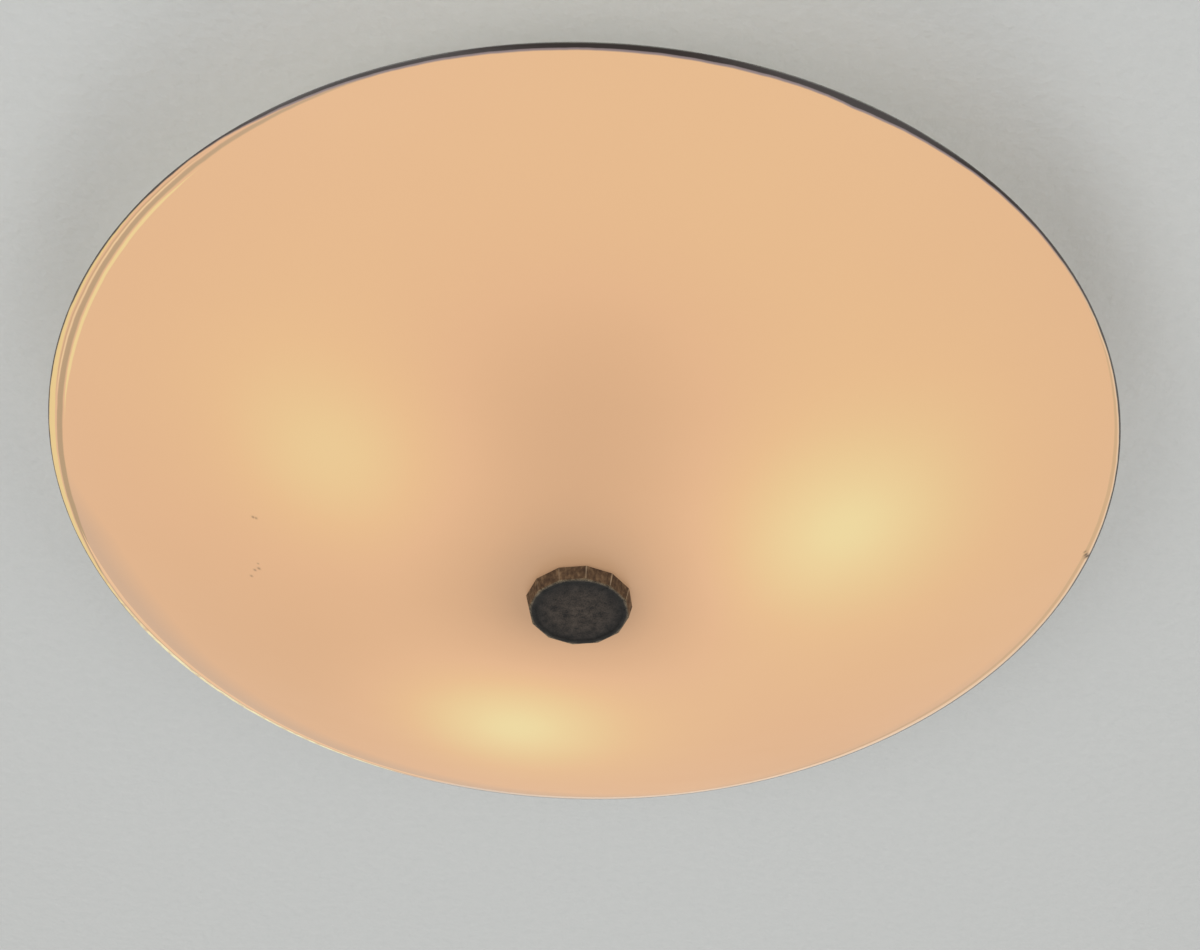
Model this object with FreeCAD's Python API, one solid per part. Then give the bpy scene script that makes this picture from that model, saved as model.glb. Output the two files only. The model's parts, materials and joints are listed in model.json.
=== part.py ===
"""Flush mount ceiling light: a shallow glass dish held by a twelve-sided bronze knob.

Millimetres, +Z up. The origin is the middle of the face that meets the ceiling,
so the whole light hangs below z = 0. One STEP file is written per piece.
"""
import FreeCAD, Part
import math
import os

V = FreeCAD.Vector
ORIGIN = V(0, 0, 0)
UP = V(0, 0, 1)
TURN = 360.0

# ---------------------------------------------------------------- driving sizes
# glass dish: a slice of a hollow ball, open side up
dish_r = 250.0  # radius of the rim
dish_sag = 73.0  # depth of the outer face below the rim
dish_t = 5.0  # thickness of the glass
dish_hole_r = 8.0  # drilled hole in the middle
dish_edge = 0.8  # ground bevel on both edges of the rim

# knob below the dish
knob_sides = 12
knob_top_r = 24.2  # corner radius on the glass side
knob_face_r = 22.6  # corner radius at the lower face
knob_h = 7.0
knob_corner_at = 156.9  # direction of one corner, degrees from +X
knob_bevel = 0.5  # worn bevel round the lower face
knob_hollow_r = 17.5  # shallow turned hollow in the lower face
knob_hollow_deep = 0.35
knob_floor = 1.6  # metal left under the threaded insert

# threaded rod M10 x 1, its nuts, washers and sleeve
rod_r = 5.0
rod_play = 0.05  # running clearance of the thread, radial
rod_end_gap = 0.5  # between the rod's end and the knob's metal
rod_past_nut = 2.0  # rod that stands out above the top nut
insert_r = 7.0  # brass thread insert of the knob
insert_up = 4.3  # how far the insert stands into the dish's hole
nut_flats = 14.0
nut_t = 5.0
rod_washer_r = 10.0
rod_washer_t = 1.5
sleeve_wall = 1.3
hole_play = 0.2  # radial play of holes over screws and rods
cup_r = 18.0  # steel plate that the dish is pulled up against
cup_t = 1.5
upper_pad_t = 2.0
lower_pad_t = 0.6
lower_pad_r = 19.0
pad_seat = 0.1  # room between a pad and the curved glass

# lamp frame: one pressed steel sheet with a hub and three legs
sheet_t = 2.0
hub_gap = 22.0  # room between ceiling and hub for nuts and leads
hub_r = 36.0
leg_w = 22.0
leg_flat_r = 50.0  # the leg starts to rise here
leg_foot_r = 72.0  # and lies on the pan from here
leg_end_r = 98.0
leg_bend = 5.0
stud_at = 86.0  # studs that hold the legs, from the middle

# small screws, studs, nuts and washers, M4
screw_r = 2.0
stud_l = 9.0
small_nut_flats = 7.0
small_nut_t = 3.2
small_washer_r = 4.5
small_washer_t = 0.8
head_r = 3.6
head_t = 2.5
slot_w = 0.9
slot_deep = 1.0
screw_bite = 9.0  # screw length inside the lampholder

# pan: pressed steel, flared towards the dish, with a rolled lip
pan_t = 1.0
pan_back_r = 200.0
pan_bend = 8.0
lip_inset = 12.0  # lip's middle inside the dish's rim
lip_bead_r = 2.0
lip_gap = 3.0  # open ring between lip and glass
ceiling_hole_ring_r = 130.0
ceiling_hole_r = 3.0

# three lamps, lying outwards from the middle
lamps = 3
first_lamp_at = 99.0  # direction of the first lamp, degrees from +X
bracket_in = 32.0  # inner face of the lamp bracket
bracket_w = 28.0
bracket_foot_w = 24.0
bracket_foot_in = 12.0
bracket_screw_at = 20.0
bracket_drop = 20.0  # clear height between lamp frame and lampholder
lamp_to_dish = 11.0  # clear space between bulb and glass

# lampholder, porcelain, E27
holder_back = 13.0  # thickness behind the screw shell
holder_wall = 4.5
holder_step = 0.9  # the rear part is this much slimmer
holder_rear_l = 16.0
holder_round = 1.2
holder_screw_off = 13.0
shell_play = 0.35  # between bulb cap and shell
shell_wall = 0.8
shell_space = 0.8  # between shell and porcelain
shell_flange_t = 1.0
shell_short = 3.0  # shell ends this far inside the mouth
mouth_past_cap = 1.0
contact_r = 5.0
contact_t = 2.7
contact_gap = 0.3

# bulb, A60 with E27 cap
bulb_l = 105.0
bulb_r = 30.0
bulb_glass_t = 0.9
neck_r = 14.0
neck_curve_r = 40.0
neck_in_cap_l = 10.0
tip_r = 4.5
tip_t = 2.0
insulator_small_r = 6.0
insulator_r = 11.2
insulator_t = 4.0
cap_r = 13.2
cap_l = 21.0
cap_wall = 0.5
cap_groove = 0.9
cap_crests = 4
thread_pitch = 3.62
stem_r = 3.0
stem_l = 26.0
flare_t = 1.0
support_r = 0.5
support_l = 16.0
support_spread = 7.0

# terminal block and earth point on the pan
block_at = 105.0  # middle of the block from the middle of the light
block_deep = 20.0
poles = 4
pole_pitch = 11.0
block_h = 15.0
pole_hole_r = 2.0
tube_wall = 1.2
tube_l = 13.0
pole_screw_r = 1.4
pole_screw_l = 3.6
pole_screw_off = 3.5
pole_slot_w = 0.45
pole_slot_deep = 0.5
block_stud_r = 1.5
block_nut_flats = 6.0
earth_out = 66.0  # earth stud, outwards along the first lamp
earth_side = -41.0  # and to its side
earth_at = V(earth_out, earth_side, 0)
lug_r = 4.4
lug_t = 0.8
lug_barrel_r = 1.9
lug_barrel_l = 7.0
lug_reach = 5.5

# cable entry through the pan
entry_out = 62.0  # from the middle of the light
entry_at = V(entry_out, 0, 0)
entry_r = 9.0
bush_bore_r = 5.0
bush_flange_r = 12.0
bush_flange_t = 2.0

# leads inside the light
lead_r = 1.6
lead_level = 9.5  # below the ceiling
lead_in_block = 3.0
lead_in_holder = 6.0
lead_play = 0.4
lead_from_back = 6.0  # lead hole in the lampholder, from its back
earth_lead_r = 1.2
arc_share = 0.45  # share of the shorter run that an arc takes
lead_free = 20.0  # straight part in front of the block
lead_drop = 23.0  # from the leads' level to the last bend above the lampholder
lead_slack = 1.2
lead_middles = [
    [],
    [V(46, 22.5, -10.5), V(12, 31, -9)],
    [V(47, -14, -10.5), V(12, -29, -9)],
]
earth_middles = [V(84, -16.5, -9.5), V(73, -16.2, -5.2)]
earth_straight = 19.5  # the earth lead runs straight from here to its tag

# ---------------------------------------------------------------- worked-out places
leg_start = first_lamp_at + TURN / lamps / 2
hub_top = -hub_gap
hub_low = hub_top - sheet_t

holder_at = bracket_in + sheet_t
cavity_at = holder_at + holder_back
tip_at = cavity_at + contact_t + contact_gap
insulator_at = tip_at + tip_t
cap_at = insulator_at + insulator_t
cap_end = cap_at + cap_l
mouth_at = cap_end + mouth_past_cap
globe_at = tip_at + bulb_l - bulb_r

shell_in_r = cap_r + shell_play
shell_r = shell_in_r + shell_wall
cavity_r = shell_r + shell_space
holder_r = cavity_r + holder_wall
rear_r = holder_r - holder_step
lamp_z = hub_low - bracket_drop - holder_r

ball_out = (dish_r**2 + dish_sag**2) / (2 * dish_sag)
ball_in = ball_out - dish_t
ball_z = lamp_z + math.sqrt((ball_in - bulb_r - lamp_to_dish) ** 2 - globe_at**2)
rim_z = ball_z - (ball_out - dish_sag)
dish_low = ball_z - ball_out
dish_floor = ball_z - ball_in

cup_low = dish_floor + upper_pad_t
knob_z = dish_low - lower_pad_t
knob_low = knob_z - knob_h
insert_low = knob_low + knob_floor
rod_low = insert_low + rod_end_gap
rod_top = hub_top + rod_washer_t + nut_t + rod_past_nut
sleeve_top = hub_low - rod_washer_t - nut_t
lip_r = dish_r - lip_inset
block_in = block_at - block_deep / 2
lead_in_at = holder_at + lead_from_back
lead_end_z = lamp_z + rear_r - lead_in_holder


def sphere_z(radius, r):
    """Height of a ball's lower face at r from the axis."""
    return ball_z - math.sqrt(radius**2 - r**2)


lip_z = sphere_z(ball_in, lip_r) + lip_gap + lip_bead_r


# ---------------------------------------------------------------- helpers
def put(shape, x=0.0, y=0.0, z=0.0, turn=0.0):
    """A copy of a shape, moved and then turned about the light's axis."""
    piece = shape.copy()
    piece.translate(V(x, y, z))
    piece.rotate(ORIGIN, UP, turn)
    return piece


def around(shape, count, start):
    """Copies of a shape spaced evenly about the light's axis."""
    return [put(shape, turn=start + TURN * i / count) for i in range(count)]


def one_of(shapes):
    """Separate solids kept together in one node."""
    return Part.makeCompound(shapes)


def fused(shapes):
    """Several shapes made into one solid without seams."""
    return shapes[0].multiFuse(shapes[1:]).removeSplitter()


def ring(outer, inner, low, high):
    """A ring or, with no inner radius, a disc about the Z axis."""
    body = Part.makeCylinder(outer, high - low, V(0, 0, low))
    if inner:
        body = body.cut(Part.makeCylinder(inner, high - low, V(0, 0, low)))
    return body


def prism(sides, radius, low, high, start=0.0):
    """An upright prism whose corners lie on a circle, the first one at start degrees."""
    angles = [math.radians(start + TURN * i / sides) for i in range(sides + 1)]
    corners = [V(radius * math.cos(a), radius * math.sin(a), low) for a in angles]
    return Part.Face(Part.makePolygon(corners)).extrude(V(0, 0, high - low))


def corner_cut(before, corner, after, radius):
    """Both ends and the middle of the arc that rounds a corner."""
    back = (before - corner).normalize()
    ahead = (after - corner).normalize()
    half = back.getAngle(ahead) / 2
    reach = radius / math.tan(half)
    centre = corner + (back + ahead).normalize() * (radius / math.sin(half))
    middle = centre + (corner - centre).normalize() * radius
    return corner + back * reach, middle, corner + ahead * reach


def rounded_face(corners):
    """A face in the XZ plane from (r, z, rounding) corners."""
    points = [V(r, 0, z) for r, z, rounding in corners]
    count = len(points)
    edges = []
    marks = []
    for i, point in enumerate(points):
        rounding = corners[i][2]
        if rounding:
            start, middle, end = corner_cut(points[i - 1], point, points[(i + 1) % count], rounding)
            edges.append(Part.Arc(start, middle, end).toShape())
            marks.append((start, end))
        else:
            marks.append((point, point))
    for i in range(count):
        start, end = marks[i - 1][1], marks[i][0]
        if start.distanceToPoint(end) > Part.Precision.confusion():
            edges.append(Part.LineSegment(start, end).toShape())
    return Part.Face(Part.Wire(Part.__sortEdges__(edges)))


def turned(corners):
    """A turned solid about the Z axis from (r, z, rounding) corners."""
    return rounded_face(corners).revolve(ORIGIN, UP, TURN)


def bent_strip(corners, width):
    """A strip of sheet whose side view is given, centred on the XZ plane."""
    return rounded_face(corners).extrude(V(0, width, 0)).translated(V(0, -width / 2, 0))


def hex_nut(flats, bore_r, low, high):
    """A plain hexagon nut about the Z axis."""
    corner_r = flats / 2 / math.cos(math.pi / 6)
    return prism(6, corner_r, low, high).cut(ring(bore_r, 0, low, high))


def slotted_screw(length):
    """A screw with its head's underside at z = 0 and its shank going up."""
    head = ring(head_r, 0, -head_t, 0)
    slot = Part.makeBox(2 * head_r, slot_w, slot_deep, V(-head_r, -slot_w / 2, -head_t))
    return fused([head.cut(slot), ring(screw_r, 0, 0, length)])


def lamp_place(shape, number):
    """Lays a shape made about +Z along the axis of one lamp."""
    piece = shape.copy()
    piece.rotate(ORIGIN, V(0, 1, 0), 90)
    return put(piece, z=lamp_z, turn=first_lamp_at + TURN * number / lamps)


def lead_tube(points, radius):
    """A round lead along straight runs joined by tangent arcs."""
    edges = []
    last = points[0]
    radii = []
    for before, corner, after in zip(points, points[1:], points[2:]):
        shorter = min(before.distanceToPoint(corner), corner.distanceToPoint(after))
        turn = math.pi - (before - corner).getAngle(after - corner)
        bend = arc_share * shorter / math.tan(turn / 2)
        start, middle, end = corner_cut(before, corner, after, bend)
        edges.append(Part.LineSegment(last, start).toShape())
        edges.append(Part.Arc(start, middle, end).toShape())
        last = end
        radii.append(round(bend, 1))
    edges.append(Part.LineSegment(last, points[-1]).toShape())
    path = Part.Wire(edges)
    circle = Part.Circle(points[0], points[1] - points[0], radius).toShape()
    tube = path.makePipeShell([Part.Wire(circle)], True, False)
    share = tube.Volume / (math.pi * radius**2 * path.Length)
    print("lead", round(path.Length), "mm, arc radii", radii, "volume share", round(share, 4))
    return tube


# ---------------------------------------------------------------- glass, knob and rod
def glass_dish():
    """Two ball faces, a ground rim and a drilled hole."""
    bevel_in = dish_r - dish_edge
    half = (dish_hole_r + bevel_in) / 2
    outer = [V(r, 0, sphere_z(ball_out, r)) for r in (dish_hole_r, half, bevel_in)]
    inner = [V(r, 0, sphere_z(ball_in, r)) for r in (dish_hole_r, half, bevel_in)]
    edge_low = V(dish_r, 0, sphere_z(ball_out, bevel_in) + 2 * dish_edge)
    edge_high = V(dish_r, 0, sphere_z(ball_in, bevel_in) - dish_edge)
    edges = [Part.Arc(*outer).toShape(), Part.Arc(*inner).toShape()]
    outline = [outer[2], edge_low, edge_high, inner[2]]
    for start, end in zip(outline, outline[1:]):
        edges.append(Part.LineSegment(start, end).toShape())
    edges.append(Part.LineSegment(inner[0], outer[0]).toShape())
    face = Part.Face(Part.Wire(Part.__sortEdges__(edges)))
    return face.revolve(ORIGIN, UP, TURN)


def upper_pad():
    """A soft ring on the inner face of the dish, which it follows."""
    blank = ring(cup_r, rod_r + hole_play, dish_floor - dish_t, cup_low)
    return blank.common(Part.makeSphere(ball_in - pad_seat, V(0, 0, ball_z)))


def lower_pad():
    """A thin soft ring between the dish and the knob."""
    blank = ring(lower_pad_r, dish_hole_r, knob_z, dish_low + dish_t)
    return blank.cut(Part.makeSphere(ball_out + pad_seat, V(0, 0, ball_z)))


def knob():
    """A twelve-sided tapered knob with a bevelled, slightly hollowed face."""
    turn = knob_corner_at
    levels = [(knob_top_r, knob_z)]
    levels.append((knob_face_r + knob_bevel, knob_low + knob_bevel))
    levels.append((knob_face_r, knob_low))
    wires = [prism(knob_sides, r, z, z + 1, turn).Faces for r, z in levels]
    rings = [min(faces, key=lambda f: f.CenterOfMass.z).OuterWire for faces in wires]
    body = fused([Part.makeLoft(rings[:2], True, True), Part.makeLoft(rings[1:], True, True)])
    pocket = ring(insert_r, 0, insert_low, knob_z)
    floor_r = knob_hollow_r - knob_hollow_deep
    hollow = Part.makeCone(knob_hollow_r, floor_r, knob_hollow_deep, V(0, 0, knob_low))
    return body.cut(pocket).cut(hollow)


def knob_insert():
    """The brass bush in the knob that runs on the rod."""
    return ring(insert_r, rod_r + rod_play, insert_low, knob_z + insert_up)


def sleeve():
    """The tube that sets the dish's height below the lamp frame."""
    return ring(rod_r + hole_play + sleeve_wall, rod_r + hole_play, cup_low + cup_t, sleeve_top)


def rod_nuts():
    """One nut above and one below the hub."""
    above = hub_top + rod_washer_t
    nut = hex_nut(nut_flats, rod_r, 0, nut_t)
    return one_of([put(nut, z=above), put(nut, z=sleeve_top)])


def rod_washers():
    """Washers between the nuts and the hub."""
    washer = ring(rod_washer_r, rod_r + hole_play, 0, rod_washer_t)
    return one_of([put(washer, z=hub_top), put(washer, z=hub_low - rod_washer_t)])


# ---------------------------------------------------------------- pan and lamp frame
def pan():
    """A flat back and a flared wall of one sheet, ending in a rolled lip."""
    slope = math.hypot(lip_r - pan_back_r, lip_z)
    step = pan_t * slope / -lip_z  # wall thickness seen level
    inner_back = pan_back_r - pan_t * (slope - lip_r + pan_back_r) / -lip_z
    corners = [(0, 0, 0), (pan_back_r, 0, pan_bend + pan_t), (lip_r, lip_z, 0)]
    corners += [(lip_r - step, lip_z, 0), (inner_back, -pan_t, pan_bend), (0, -pan_t, 0)]
    bead = Part.Face(Part.Wire(Part.Circle(V(lip_r, 0, lip_z), V(0, 1, 0), lip_bead_r).toShape()))
    section = fused([rounded_face(corners), bead])
    body = section.Faces[0].revolve(ORIGIN, UP, TURN)
    hole = put(ring(ceiling_hole_r, 0, -2 * pan_t, pan_t), x=ceiling_hole_ring_r)
    for cutter in around(hole, lamps, leg_start):
        body = body.cut(cutter)
    return body.cut(put(ring(entry_r, 0, -2 * pan_t, pan_t), x=entry_at.x, y=entry_at.y))


def lamp_frame():
    """Hub with three legs that rise to the pan between the lamps."""
    corners = [(0, hub_low, 0), (leg_flat_r, hub_low, leg_bend)]
    corners += [(leg_foot_r, -pan_t - sheet_t, leg_bend)]
    corners += [(leg_end_r, -pan_t - sheet_t, 0), (leg_end_r, -pan_t, 0)]
    corners += [(leg_foot_r, -pan_t, leg_bend), (leg_flat_r, hub_top, leg_bend), (0, hub_top, 0)]
    leg = bent_strip(corners, leg_w)
    body = fused([ring(hub_r, 0, hub_low, hub_top)] + around(leg, lamps, leg_start))
    foot_hole = put(ring(screw_r + hole_play, 0, hub_low, 0), x=stud_at)
    arm_hole = put(ring(screw_r + hole_play, 0, hub_low, 0), x=bracket_screw_at)
    holes = around(foot_hole, lamps, leg_start) + around(arm_hole, lamps, first_lamp_at)
    for cutter in holes + [ring(rod_r + hole_play, 0, hub_low, 0)]:
        body = body.cut(cutter)
    return body


def pan_studs():
    """Studs welded under the pan that hold the legs."""
    stud = put(ring(screw_r, 0, -pan_t - stud_l, -pan_t), x=stud_at)
    return one_of(around(stud, lamps, leg_start))


def foot_washers():
    """Washers under the legs' feet."""
    top = -pan_t - sheet_t
    washer = put(ring(small_washer_r, screw_r + hole_play, top - small_washer_t, top), x=stud_at)
    return one_of(around(washer, lamps, leg_start))


def foot_nuts():
    """Nuts on the pan's studs."""
    top = -pan_t - sheet_t - small_washer_t
    nut = put(hex_nut(small_nut_flats, screw_r, top - small_nut_t, top), x=stud_at)
    return one_of(around(nut, lamps, leg_start))


def lamp_bracket(number):
    """An angle of sheet: a foot under the hub and a plate behind the lampholder."""
    foot = Part.makeBox(holder_at - bracket_foot_in, bracket_foot_w, sheet_t)
    foot.translate(V(bracket_foot_in, -bracket_foot_w / 2, hub_low - sheet_t))
    drop = hub_low - lamp_z
    plate = Part.makeBox(sheet_t, bracket_w, drop, V(bracket_in, -bracket_w / 2, lamp_z))
    disc = Part.makeCylinder(rear_r, sheet_t, V(bracket_in, 0, lamp_z), V(1, 0, 0))
    body = fused([foot, plate, disc])
    body = body.cut(put(ring(screw_r + hole_play, 0, hub_low - sheet_t, hub_low), x=bracket_screw_at))
    for side in (-holder_screw_off, holder_screw_off):
        base = V(bracket_in, side, lamp_z)
        body = body.cut(Part.makeCylinder(screw_r + hole_play, sheet_t, base, V(1, 0, 0)))
    return put(body, turn=first_lamp_at + TURN * number / lamps)


def bracket_screws():
    """Screws that pull the brackets up against the hub."""
    under = hub_low - sheet_t
    length = 2 * sheet_t + small_nut_t
    screw = put(slotted_screw(length), x=bracket_screw_at, z=under)
    return one_of(around(screw, lamps, first_lamp_at))


def bracket_nuts():
    """Nuts on top of the hub for the bracket screws."""
    nut = put(hex_nut(small_nut_flats, screw_r, hub_top, hub_top + small_nut_t), x=bracket_screw_at)
    return one_of(around(nut, lamps, first_lamp_at))


# ---------------------------------------------------------------- lampholders
def holder_body():
    """Porcelain body with a cavity, two screw holes and a lead hole."""
    step_at = holder_at + holder_rear_l
    corners = [(0, holder_at, 0), (rear_r, holder_at, holder_round), (rear_r, step_at, 0)]
    corners += [(holder_r, step_at + holder_step, 0), (holder_r, mouth_at, holder_round)]
    corners += [(cavity_r, mouth_at, holder_round), (cavity_r, cavity_at, 0), (0, cavity_at, 0)]
    body = turned(corners)
    for side in (-holder_screw_off, holder_screw_off):
        body = body.cut(Part.makeCylinder(screw_r, screw_bite + hole_play, V(0, side, holder_at)))
    hole_l = lead_in_holder + lead_play
    lead_hole = Part.makeCylinder(lead_r + lead_play, hole_l, V(-rear_r, 0, lead_in_at), V(1, 0, 0))
    return body.cut(lead_hole)


def holder_shell():
    """Brass screw shell with a flange on the cavity's floor."""
    end = mouth_at - shell_short
    flange_r = cavity_r - hole_play
    corners = [(shell_in_r, cavity_at, 0), (flange_r, cavity_at, 0)]
    corners += [(flange_r, cavity_at + shell_flange_t, 0), (shell_r, cavity_at + shell_flange_t, 0)]
    corners += [(shell_r, end, 0), (shell_in_r, end, 0)]
    return turned(corners)


def holder_contact():
    """Sprung middle contact, a domed brass button."""
    end = cavity_at + contact_t
    corners = [(0, cavity_at, 0), (contact_r, cavity_at, 0)]
    corners += [(contact_r, end, contact_t / 2), (0, end, 0)]
    return turned(corners)


def holder_screws():
    """Six screws that hold the lampholders to their brackets."""
    screw = put(slotted_screw(sheet_t + screw_bite), z=bracket_in)
    pieces = []
    for number in range(lamps):
        for side in (-holder_screw_off, holder_screw_off):
            pieces.append(lamp_place(put(screw, y=side), number))
    return one_of(pieces)


# ---------------------------------------------------------------- bulbs
def bulb_outline(skin):
    """Corner points and arc middles of the bulb's glass, set in by a skin."""
    globe = bulb_r - skin
    curve = neck_curve_r + skin
    rise = neck_r + neck_curve_r
    run = math.sqrt((bulb_r + neck_curve_r) ** 2 - rise**2)
    curve_at = V(rise, 0, globe_at - run)
    globe_mid = V(0, 0, globe_at)
    meet = globe_mid + (curve_at - globe_mid).normalize() * globe
    neck = curve_at - V(curve, 0, 0)
    bend = (neck + meet) / 2 - curve_at
    neck_mid = curve_at + bend.normalize() * curve
    start = (meet - globe_mid).normalize()
    angle = (start.getAngle(UP)) / 2
    side = globe_mid + V(math.sin(angle), 0, math.cos(angle)) * globe
    return neck, neck_mid, meet, side, globe_mid + UP * globe


def bulb_glass():
    """Thin blown envelope with a neck that fits into the cap."""
    neck_in = cap_r - cap_groove - cap_wall - hole_play
    shoulder = cap_end + hole_play
    edges = []
    ends = []
    for skin in (0.0, bulb_glass_t):
        neck, neck_mid, meet, side, top = bulb_outline(skin)
        edges.append(Part.Arc(neck, neck_mid, meet).toShape())
        edges.append(Part.Arc(meet, side, top).toShape())
        low = V(neck_in - skin, 0, cap_end - neck_in_cap_l)
        turn_in = V(neck_in - skin, 0, shoulder + skin)
        turn_out = V(neck_r - skin, 0, shoulder + skin)
        for start, end in zip([low, turn_in, turn_out], [turn_in, turn_out, neck]):
            edges.append(Part.LineSegment(start, end).toShape())
        ends.append((low, top))
    edges.append(Part.LineSegment(ends[0][0], ends[1][0]).toShape())
    edges.append(Part.LineSegment(ends[0][1], ends[1][1]).toShape())
    face = Part.Face(Part.Wire(Part.__sortEdges__(edges)))
    return face.revolve(ORIGIN, UP, TURN)


def bulb_cap():
    """Thin metal cap with rounded thread crests."""
    low_r = cap_r - cap_groove
    inner = low_r - cap_wall
    lead_in = (cap_l - cap_crests * thread_pitch) / 2
    edges = []
    last = V(low_r, 0, cap_at)
    edges.append(Part.LineSegment(V(inner, 0, cap_at), last).toShape())
    for crest in range(cap_crests):
        start = V(low_r, 0, cap_at + lead_in + crest * thread_pitch)
        middle = V(cap_r, 0, start.z + thread_pitch / 2)
        end = V(low_r, 0, start.z + thread_pitch)
        if last.distanceToPoint(start) > Part.Precision.confusion():
            edges.append(Part.LineSegment(last, start).toShape())
        edges.append(Part.Arc(start, middle, end).toShape())
        last = end
    for point in (V(low_r, 0, cap_end), V(inner, 0, cap_end), V(inner, 0, cap_at)):
        edges.append(Part.LineSegment(last, point).toShape())
        last = point
    return Part.Face(Part.Wire(edges)).revolve(ORIGIN, UP, TURN)


def bulb_insulator():
    """Black glass cone between cap and contact."""
    return Part.makeCone(insulator_small_r, insulator_r, insulator_t, V(0, 0, insulator_at))


def bulb_tip():
    """Solder contact at the end of the bulb."""
    corners = [(0, tip_at, 0), (tip_r, tip_at, tip_t / 2)]
    corners += [(tip_r, insulator_at, 0), (0, insulator_at, 0)]
    return turned(corners)


def bulb_filament():
    """Glass stem with its flare, two supports and the wire between them."""
    low = cap_end - neck_in_cap_l
    flare_r = cap_r - cap_groove - cap_wall - bulb_glass_t - 2 * hole_play
    pieces = [ring(flare_r, 0, low, low + flare_t), ring(stem_r, 0, low, low + stem_l)]
    root = low + stem_l - stem_r
    top = root + support_l
    for side in (-1, 1):
        foot = V(side * stem_r / 2, 0, root)
        reach = V(side * support_spread, 0, top) - foot
        pieces.append(Part.makeCylinder(support_r, reach.Length, foot, reach))
    wire = V(-support_spread, 0, top)
    pieces.append(Part.makeCylinder(support_r, 2 * support_spread, wire, V(1, 0, 0)))
    return fused(pieces)


# ---------------------------------------------------------------- wiring
def pole_places():
    """Side positions of the block's poles."""
    return [(i - (poles - 1) / 2) * pole_pitch for i in range(poles)]


def along(radius, start, length, side, level):
    """A rod lying outwards from the middle at one pole."""
    return Part.makeCylinder(radius, length, V(start, side, level), V(1, 0, 0))


def terminal_block():
    """Moulded block with a through hole and a metal tube's seat at each pole."""
    width = poles * pole_pitch
    low = -pan_t - block_h
    body = Part.makeBox(block_deep, width, block_h, V(block_in, -width / 2, low))
    tube_r = pole_hole_r + tube_wall
    for side in pole_places():
        body = body.cut(along(pole_hole_r, block_in, block_deep, side, -lead_level))
        body = body.cut(along(tube_r, block_at - tube_l / 2, tube_l, side, -lead_level))
        for off in (-pole_screw_off, pole_screw_off):
            well = ring(pole_screw_r + hole_play, 0, low, -lead_level)
            body = body.cut(put(well, x=block_at + off, y=side))
    body = body.cut(put(ring(block_stud_r + hole_play, 0, low, -pan_t), x=block_at))
    return put(body, turn=first_lamp_at)


def terminal_tubes():
    """Brass tubes inside the block."""
    tube_r = pole_hole_r + tube_wall
    pieces = []
    for side in pole_places():
        start = block_at - tube_l / 2
        tube = along(tube_r, start, tube_l, side, -lead_level)
        tube = tube.cut(along(pole_hole_r, start, tube_l, side, -lead_level))
        for off in (-pole_screw_off, pole_screw_off):
            hole = ring(pole_screw_r, 0, -lead_level - tube_r, -lead_level)
            tube = tube.cut(put(hole, x=block_at + off, y=side))
        pieces.append(put(tube, turn=first_lamp_at))
    return one_of(pieces)


def terminal_screws():
    """Clamping screws in the tubes, reached from below."""
    high = -lead_level - pole_hole_r
    screw = ring(pole_screw_r, 0, high - pole_screw_l, high)
    slot = Part.makeBox(2 * pole_screw_r, pole_slot_w, pole_slot_deep)
    slot.translate(V(-pole_screw_r, -pole_slot_w / 2, high - pole_screw_l))
    screw = screw.cut(slot)
    pieces = []
    for side in pole_places():
        for off in (-pole_screw_off, pole_screw_off):
            pieces.append(put(screw, x=block_at + off, y=side, turn=first_lamp_at))
    return one_of(pieces)


def block_stud():
    """Stud welded to the pan through the middle of the block."""
    length = block_h + small_nut_t + small_washer_t
    return put(ring(block_stud_r, 0, -pan_t - length, -pan_t), x=block_at, turn=first_lamp_at)


def block_nut():
    """Nut that holds the block."""
    top = -pan_t - block_h
    nut = hex_nut(block_nut_flats, block_stud_r, top - small_nut_t, top)
    return put(nut, x=block_at, turn=first_lamp_at)


def earth_place(shape):
    """Moves a piece made about the Z axis to the earth point."""
    return put(shape, x=earth_at.x, y=earth_at.y, turn=first_lamp_at)


def earth_stud():
    """Earth stud welded to the pan."""
    return earth_place(ring(screw_r, 0, -pan_t - stud_l, -pan_t))


def earth_lug():
    """Ring tag with a barrel for the earth lead."""
    tag = ring(lug_r, screw_r + hole_play, -pan_t - lug_t, -pan_t)
    middle = -pan_t - lug_barrel_r
    strap = Part.makeBox(2 * lug_barrel_r, lug_reach, lug_t, V(-lug_barrel_r, lug_r / 2, -pan_t - lug_t))
    hollow_r = earth_lead_r + hole_play
    barrel = Part.makeCylinder(lug_barrel_r, lug_barrel_l, V(0, lug_reach, middle), V(0, 1, 0))
    strap = strap.cut(ring(screw_r + hole_play, 0, -pan_t - lug_t, -pan_t))
    body = fused([tag, strap, barrel])
    bore_at = V(0, lug_reach + lug_barrel_l / 2, middle)
    body = body.cut(Part.makeCylinder(hollow_r, lug_barrel_l, bore_at, V(0, 1, 0)))
    return earth_place(body)


def earth_nut():
    """Nut that holds the earth tag."""
    top = -pan_t - lug_t
    return earth_place(hex_nut(small_nut_flats, screw_r, top - small_nut_t, top))


def cable_bush():
    """Rubber bush in the pan's cable hole, flush with the ceiling side."""
    flange_low = -pan_t - bush_flange_t
    corners = [(bush_bore_r, 0, 0), (entry_r, 0, 0), (entry_r, -pan_t, 0), (bush_flange_r, -pan_t, 0)]
    corners += [(bush_flange_r, flange_low, bush_flange_t / 2), (bush_bore_r, flange_low, 0)]
    return put(turned(corners), x=entry_at.x, y=entry_at.y)


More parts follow.
